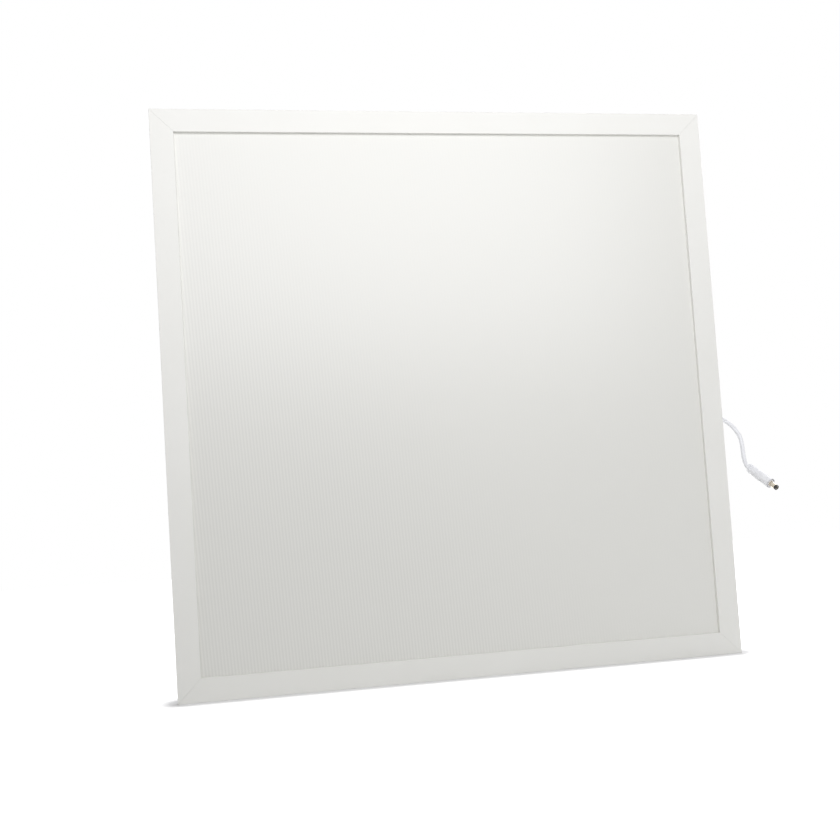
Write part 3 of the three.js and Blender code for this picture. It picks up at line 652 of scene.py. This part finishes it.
# Screws: cross-recessed pan heads, cold formed in steel and zinc plated. Twenty close the back
# into the rails' slots, and two more hold the wiring cover's ears.
HEAD_RADIUS = 2.5 * MM
HEAD_HEIGHT = 1.5 * MM
RECESS_SPAN = 2.9 * MM
RECESS_WIDTH = 0.62 * MM
RECESS_DEPTH = 0.95 * MM
SHANK_RADIUS = 1.4 * MM
RECESS_TURN = math.radians(37)

# Bright zinc with a blue passivation: a mirror dulled by the barrel that it was plated in.
zinc, tree = new_material("zinc_plated_steel")
place = add_node(tree, "ShaderNodeTexCoord", {})
dulling = add_node(tree, "ShaderNodeTexNoise", {
    "Vector": place.outputs["Object"], "Scale": 1 / (0.7 * MM), "Detail": 4,
})
tint = add_node(tree, "ShaderNodeMixRGB", {
    "Fac": dulling.outputs["Fac"], "Color1": linear("#a9afb6"), "Color2": linear("#c9cdd1"),
})
gloss = add_node(tree, "ShaderNodeMapRange", {
    "Value": dulling.outputs["Fac"], "To Min": 0.22, "To Max": 0.42,
})
shader = add_node(tree, "ShaderNodeBsdfPrincipled", {
    "Base Color": tint.outputs["Color"], "Metallic": 1, "Roughness": gloss.outputs["Result"],
})
add_node(tree, "ShaderNodeOutputMaterial", {"Surface": shader.outputs["BSDF"]})

# Each recess is cut by a bit of two crossed blades, drawn in towards its tip.
bpy.ops.mesh.primitive_cube_add(size=1, location=(0, 0, HEAD_HEIGHT))
bpy.context.object.scale = (RECESS_SPAN, RECESS_WIDTH, 2 * RECESS_DEPTH)
bpy.ops.object.transform_apply(location=True, rotation=True, scale=True)
bit = start_shape("driver_bit")
pick(bit, "verts", lambda vert: vert.co.z < HEAD_HEIGHT)
bpy.ops.transform.resize(value=(0.45, 0.8, 1), center_override=(0, 0, HEAD_HEIGHT - RECESS_DEPTH))
bpy.ops.object.mode_set(mode="OBJECT")
blade = bit.copy()
blade.data = bit.data.copy()
bpy.context.scene.collection.objects.link(blade)
blade.data.transform(Matrix.Rotation(math.pi / 2, 4, "Z"))
crossing = bit.modifiers.new("crossing", "BOOLEAN")
crossing.object = blade
crossing.operation = "UNION"
bpy.ops.object.modifier_apply(modifier=crossing.name)
bit.select_set(False)

bpy.ops.mesh.primitive_cylinder_add(
    vertices=32, radius=HEAD_RADIUS, depth=HEAD_HEIGHT, location=(0, 0, HEAD_HEIGHT / 2),
)
bpy.ops.object.transform_apply(location=True, rotation=True, scale=True)
screw = start_shape("screw")
pick(screw, "faces", lambda face: face.normal.z > 0.9)
bpy.ops.mesh.bevel(offset=0.8 * MM, segments=5, affect="EDGES")
pick(screw, "faces", lambda face: face.normal.z < -0.9)
bpy.ops.mesh.inset(thickness=HEAD_RADIUS - SHANK_RADIUS)
bpy.ops.mesh.extrude_region_move(TRANSFORM_OT_translate={"value": (0, 0, -2.6 * MM)})
bpy.ops.mesh.extrude_region_move(TRANSFORM_OT_translate={"value": (0, 0, -0.8 * MM)})
bpy.ops.transform.resize(value=(0.55, 0.55, 1))
bpy.ops.object.mode_set(mode="OBJECT")
recess = screw.modifiers.new("recess", "BOOLEAN")
recess.object = bit
recess.operation = "DIFFERENCE"
bpy.ops.object.modifier_apply(modifier=recess.name)
screw.select_set(False)
screw_nodes = sorted(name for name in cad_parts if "_screw_" in name)
for i, name in enumerate(screw_nodes):
    low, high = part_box(name)
    head_seat = Vector(((low.x + high.x) / 2, high.y - HEAD_HEIGHT, (low.z + high.z) / 2))
    copy = screw.copy()
    copy.data = screw.data.copy()
    bpy.context.scene.collection.objects.link(copy)
    bpy.context.view_layer.objects.active = copy
    copy.select_set(True)
    copy.name = copy.data.name = f"pan_head_{name}"
    turned = Matrix.Rotation(-math.pi / 2, 4, "X") @ Matrix.Rotation(i * RECESS_TURN, 4, "Z")
    end_shape(copy, zinc, Matrix.Translation(head_seat) @ turned, smooth=30)
    belongs(copy, "zinc_plated_steel", name)
for tool in (bit, blade, screw):
    bpy.data.objects.remove(tool)

# Corner keys: stamped and zinc plated as well, one in each pair of the rails' chambers.
coat(zinc, *(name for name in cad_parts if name.startswith("corner_key")))


# Wiring cover: injection moulded in white ABS, an open-backed box that hides the joints between
# the supply wires and the lead, screwed to the back sheet through an ear on each side.
COVER_WALL = 1.5 * MM
COVER_CORNER = 4 * MM
EAR_LENGTH = 10 * MM
EAR_THICKNESS = 2 * MM
EAR_CORNER = 1.5 * MM
COVER_HALF_WIDTH = 12 * MM
TOP_ROUNDING = 0.9 * MM
LID_INSET = 1.8 * MM
LID_STEP = 0.3 * MM
EAR_ROOT = 1 * MM
EAR_HOLE_RADIUS = 1.75 * MM
RELIEF_HOLE_RADIUS = 3.55 * MM
SPARK = 0.35 * MM

# ABS moulded against a spark-eroded die: an even satin with a grain of a third of a millimetre.
white_abs, tree = new_material("moulded_abs")
place = add_node(tree, "ShaderNodeTexCoord", {})
spark = add_node(tree, "ShaderNodeTexVoronoi", {
    "Vector": place.outputs["Object"], "Scale": 1 / SPARK,
})
cloud = add_node(tree, "ShaderNodeTexNoise", {
    "Vector": place.outputs["Object"], "Scale": 1 / (14 * MM), "Detail": 2,
})
tint = add_node(tree, "ShaderNodeMixRGB", {
    "Fac": cloud.outputs["Fac"], "Color1": linear("#e6e6e1"), "Color2": linear("#eeeeea"),
})
relief = add_node(tree, "ShaderNodeBump", {
    "Height": spark.outputs["Distance"], "Strength": 0.5, "Distance": 0.05 * MM,
})
gloss = add_node(tree, "ShaderNodeMapRange", {
    "Value": spark.outputs["Distance"], "To Min": 0.4, "To Max": 0.52,
})
shader = add_node(tree, "ShaderNodeBsdfPrincipled", {
    "Base Color": tint.outputs["Color"],
    "Roughness": gloss.outputs["Result"],
    "IOR": 1.53,
    "Normal": relief.outputs["Normal"],
})
add_node(tree, "ShaderNodeOutputMaterial", {"Surface": shader.outputs["BSDF"]})

cover_low, cover_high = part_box("wiring_cover")
screw_lows = [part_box(f"cover_screw_{i}")[0] for i in (1, 2)]
screw_highs = [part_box(f"cover_screw_{i}")[1] for i in (1, 2)]
cover_height = cover_high.y
cover_middle = (cover_low + cover_high) / 2


def block(name, low, high):
    """A cube primitive brought to those corners, open in edit mode."""
    bpy.ops.mesh.primitive_cube_add(size=1, location=(Vector(low) + Vector(high)) / 2)
    bpy.context.object.scale = Vector(high) - Vector(low)
    bpy.ops.object.transform_apply(location=True, rotation=True, scale=True)
    return start_shape(name)


def along(edge, axis):
    """Whether an edge runs along that axis, 0 to 2."""
    return abs((edge.verts[0].co - edge.verts[1].co).normalized()[axis]) > 0.99


def combine(piece, tool, operation):
    """Joins the tool to the piece or cuts the piece with it, and removes the tool."""
    step = piece.modifiers.new("step", "BOOLEAN")
    step.object = tool
    step.operation = operation
    bpy.context.view_layer.objects.active = piece
    bpy.ops.object.modifier_apply(modifier=step.name)
    bpy.data.objects.remove(tool)


cover = block(
    "wiring_cover_shell",
    (cover_low.x, 0, cover_middle.z - COVER_HALF_WIDTH),
    (cover_high.x, cover_height, cover_middle.z + COVER_HALF_WIDTH),
)
pick(cover, "edges", lambda edge: along(edge, 1))
bpy.ops.mesh.bevel(offset=COVER_CORNER, segments=8, affect="EDGES")
pick(cover, "faces", lambda face: face.normal.y > 0.9)
bpy.ops.mesh.bevel(offset=TOP_ROUNDING, segments=4, affect="EDGES")
pick(cover, "faces", lambda face: face.normal.y > 0.99)
bpy.ops.mesh.inset(thickness=LID_INSET)
bpy.ops.mesh.inset(thickness=LID_STEP, depth=-LID_STEP)
pick(cover, "faces", lambda face: face.normal.y < -0.9)
bpy.ops.mesh.delete(type="FACE")
bpy.ops.object.mode_set(mode="OBJECT")
wall = cover.modifiers.new("wall", "SOLIDIFY")
wall.thickness = COVER_WALL
wall.offset = -1
bpy.ops.object.modifier_apply(modifier=wall.name)
cover.select_set(False)
for low, high in zip(screw_lows, screw_highs):
    hole_x, hole_z = (low.x + high.x) / 2, (low.z + high.z) / 2
    way = 1 if hole_z > cover_middle.z else -1
    root = cover_middle.z + way * (COVER_HALF_WIDTH - EAR_ROOT)
    ends = sorted((root, cover_high.z if way > 0 else cover_low.z))
    ear = block(
        "ear",
        (hole_x - EAR_LENGTH / 2, 0, ends[0]),
        (hole_x + EAR_LENGTH / 2, EAR_THICKNESS, ends[1]),
    )
    pick(ear, "edges", lambda edge: along(edge, 1) and way * (middle(edge).z - hole_z) > 0)
    bpy.ops.mesh.bevel(offset=EAR_CORNER, segments=6, affect="EDGES")
    bpy.ops.object.mode_set(mode="OBJECT")
    ear.select_set(False)
    combine(cover, ear, "UNION")
    bpy.ops.mesh.primitive_cylinder_add(
        vertices=32,
        radius=EAR_HOLE_RADIUS,
        depth=4 * EAR_THICKNESS,
        location=(hole_x, 0, hole_z),
        rotation=(math.pi / 2, 0, 0),
    )
    drill = bpy.context.object
    drill.select_set(False)
    combine(cover, drill, "DIFFERENCE")
bpy.ops.mesh.primitive_cylinder_add(
    vertices=48,
    radius=RELIEF_HOLE_RADIUS,
    depth=4 * COVER_WALL,
    location=(cover_high.x, lead_points[0].y, lead_points[0].z),
    rotation=(0, math.pi / 2, 0),
)
drill = bpy.context.object
drill.select_set(False)
combine(cover, drill, "DIFFERENCE")
cover.select_set(True)
end_shape(cover, white_abs, smooth=32, bevel=0.18 * MM)
belongs(cover, "white_abs", "wiring_cover")


# LED strips: white solder mask on a narrow board, with a row of white packages whose windows are
# filled with yellow phosphor. The packages stand out from the board, towards the panel's middle.
strip_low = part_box("led_strip_right")[0]
strip_finish, tree = new_material("solder_mask_and_phosphor")
place = add_node(tree, "ShaderNodeTexCoord", {})
parts = add_node(tree, "ShaderNodeSeparateXYZ", {"Vector": place.outputs["Object"]})
from_middle = add_node(tree, "ShaderNodeMath", {0: parts.outputs["X"]}, operation="ABSOLUTE")
window = add_node(tree, "ShaderNodeMath", {
    0: from_middle.outputs["Value"], 1: strip_low.x + 0.1 * MM,
}, operation="LESS_THAN")
weave = add_node(tree, "ShaderNodeTexNoise", {
    "Vector": place.outputs["Object"], "Scale": 1 / (0.5 * MM), "Detail": 3,
})
mask_tint = add_node(tree, "ShaderNodeMixRGB", {
    "Fac": weave.outputs["Fac"], "Color1": linear("#eeeee8"), "Color2": linear("#f7f7f2"),
})
tint = add_node(tree, "ShaderNodeMixRGB", {
    "Fac": window.outputs["Value"], "Color1": mask_tint.outputs["Color"], "Color2": linear("#e8c441"),
})
shader = add_node(tree, "ShaderNodeBsdfPrincipled", {
    "Base Color": tint.outputs["Color"], "Roughness": 0.35, "IOR": 1.5,
})
add_node(tree, "ShaderNodeOutputMaterial", {"Surface": shader.outputs["BSDF"]})
coat(strip_finish, "led_strip_left", "led_strip_right")


# Guide blocks and grommet: moulded silicone that keeps the guide's edges off the rails, and a
# black EPDM grommet in the back sheet's wire hole. Both are dull and slightly mottled.
def rubber(name, dark, light, grit):
    """A dull rubber with a fine grit and a mottled shade."""
    material, tree = new_material(name)
    place = add_node(tree, "ShaderNodeTexCoord", {})
    mottle = add_node(tree, "ShaderNodeTexNoise", {
        "Vector": place.outputs["Object"], "Scale": 1 / grit, "Detail": 4,
    })
    tint = add_node(tree, "ShaderNodeMixRGB", {
        "Fac": mottle.outputs["Fac"], "Color1": linear(dark), "Color2": linear(light),
    })
    relief = add_node(tree, "ShaderNodeBump", {
        "Height": mottle.outputs["Fac"], "Strength": 0.5, "Distance": 0.04 * MM,
    })
    shader = add_node(tree, "ShaderNodeBsdfPrincipled", {
        "Base Color": tint.outputs["Color"], "Roughness": 0.7, "Normal": relief.outputs["Normal"],
    })
    add_node(tree, "ShaderNodeOutputMaterial", {"Surface": shader.outputs["BSDF"]})
    return material


coat(
    rubber("moulded_silicone", "#ccd0cc", "#dde0dc", 0.8 * MM),
    *(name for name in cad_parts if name.startswith("guide_block")),
)
coat(rubber("epdm_rubber", "#1c1c1d", "#2b2b2c", 0.4 * MM), "wire_grommet")


# Wires: fine tinned strands in red or black PVC, run inside the panel and under the cover, with a
# heat-shrink sleeve over each soldered joint. Extruded insulation is glossy along its length.
def insulation(name, dark, light, roughness):
    """Insulation with a little streaking in its shade."""
    material, tree = new_material(name)
    place = add_node(tree, "ShaderNodeTexCoord", {})
    streak = add_node(tree, "ShaderNodeTexNoise", {
        "Vector": place.outputs["Object"], "Scale": 1 / (1.5 * MM), "Detail": 3,
    })
    tint = add_node(tree, "ShaderNodeMixRGB", {
        "Fac": streak.outputs["Fac"], "Color1": linear(dark), "Color2": linear(light),
    })
    shader = add_node(tree, "ShaderNodeBsdfPrincipled", {
        "Base Color": tint.outputs["Color"], "Roughness": roughness, "IOR": 1.53,
    })
    add_node(tree, "ShaderNodeOutputMaterial", {"Surface": shader.outputs["BSDF"]})
    return material


red_pvc = insulation("red_pvc", "#a01f16", "#bd2c20", 0.35)
black_pvc = insulation("black_pvc", "#141415", "#222224", 0.35)
coat(red_pvc, "link_wire_red", "supply_wire_red", "lead_core_red")
coat(black_pvc, "link_wire_black", "supply_wire_black", "lead_core_black")
coat(insulation("heat_shrink", "#101011", "#1d1d1e", 0.5), "splice_sleeve_red", "splice_sleeve_black")


# Floor and surroundings: a sheet of plain white paper in a white room. The floor keeps the shadow
# where the panel meets it, and brightens to the white of the room a few centimetres off.
FLOOR_LIFT = 0
LIFT_START = 0.02
LIFT_END = 0.045
ROOM_FILL = 0.315
FOOT_END = right_edge - 0.012


def seen_rays(tree):
    """One for the camera's own, mirrored and refracted rays, and nothing for light on the way."""
    rays = add_node(tree, "ShaderNodeLightPath", {})
    seen = add_node(tree, "ShaderNodeMath", {
        0: rays.outputs["Is Camera Ray"], 1: rays.outputs["Is Glossy Ray"],
    }, operation="MAXIMUM")
    return add_node(tree, "ShaderNodeMath", {
        0: seen.outputs["Value"], 1: rays.outputs["Is Transmission Ray"],
    }, operation="MAXIMUM")


floor_paper, tree = new_material("floor_paper")
seen = seen_rays(tree)
place = add_node(tree, "ShaderNodeTexCoord", {})
folded = add_node(tree, "ShaderNodeVectorMath", {0: place.outputs["Object"]}, operation="ABSOLUTE")
beyond = add_node(tree, "ShaderNodeVectorMath", {
    0: folded.outputs["Vector"], 1: (FOOT_END, 0, 0),
}, operation="SUBTRACT")
outside = add_node(tree, "ShaderNodeVectorMath", {
    0: beyond.outputs["Vector"], 1: (0, 0, 0),
}, operation="MAXIMUM")
reach = add_node(tree, "ShaderNodeVectorMath", {0: outside.outputs["Vector"]}, operation="LENGTH")
lift = add_node(tree, "ShaderNodeMapRange", {
    "Value": reach.outputs["Value"],
    "From Min": LIFT_START, "From Max": LIFT_END, "To Min": FLOOR_LIFT, "To Max": 1,
})
glow = add_node(tree, "ShaderNodeMath", {
    0: seen.outputs["Value"], 1: lift.outputs["Result"],
}, operation="MULTIPLY")
white = add_node(tree, "ShaderNodeEmission", {
    "Color": (1, 1, 1, 1), "Strength": glow.outputs["Value"],
})
paper = add_node(tree, "ShaderNodeBsdfDiffuse", {"Color": linear("#f2f2f2")})
both = add_node(tree, "ShaderNodeAddShader", {0: paper.outputs["BSDF"], 1: white.outputs["Emission"]})
add_node(tree, "ShaderNodeOutputMaterial", {"Surface": both.outputs["Shader"]})

bpy.ops.mesh.primitive_plane_add(size=8, location=(0, 0, cad_low.z))
floor = bpy.context.object
floor.name = "floor"
floor.data.materials.append(floor_paper)
floor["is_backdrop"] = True

world = bpy.data.worlds.new("white_room")
bpy.context.scene.world = world
world.use_nodes = True
tree = world.node_tree
tree.nodes.clear()
seen = seen_rays(tree)
level = add_node(tree, "ShaderNodeMapRange", {
    "Value": seen.outputs["Value"], "To Min": ROOM_FILL, "To Max": 1,
})
room = add_node(tree, "ShaderNodeBackground", {
    "Color": (1, 1, 1, 1), "Strength": level.outputs["Result"],
})
add_node(tree, "ShaderNodeOutputWorld", {"Surface": room.outputs["Background"]})


def softbox(name, place, target, width, height, watts):
    """A soft area lamp there, aimed at the target."""
    data = bpy.data.lights.new(name, "AREA")
    data.shape = "RECTANGLE"
    data.size = width
    data.size_y = height
    data.energy = watts
    data.color = (0.985, 0.98, 1)
    lamp = bpy.data.objects.new(name, data)
    bpy.context.scene.collection.objects.link(lamp)
    way = Vector(target) - Vector(place)
    lamp.matrix_world = Matrix.Translation(place) @ way.to_track_quat("-Z", "Y").to_matrix().to_4x4()


softbox("front_softbox", (0, -0.9, 0.57), (0.03, 0, 0.57), 1.2, 0.8, 9.2)
softbox("back_softbox", (0.5, 1.2, 0.9), (0, 0, -0.05), 1.0, 0.8, 11)
softbox("side_softbox", (1.1, 0.35, 0.75), (0.3, 0, -0.1), 0.5, 0.5, 3)

bpy.context.scene.view_settings.view_transform = "Standard"
low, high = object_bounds()
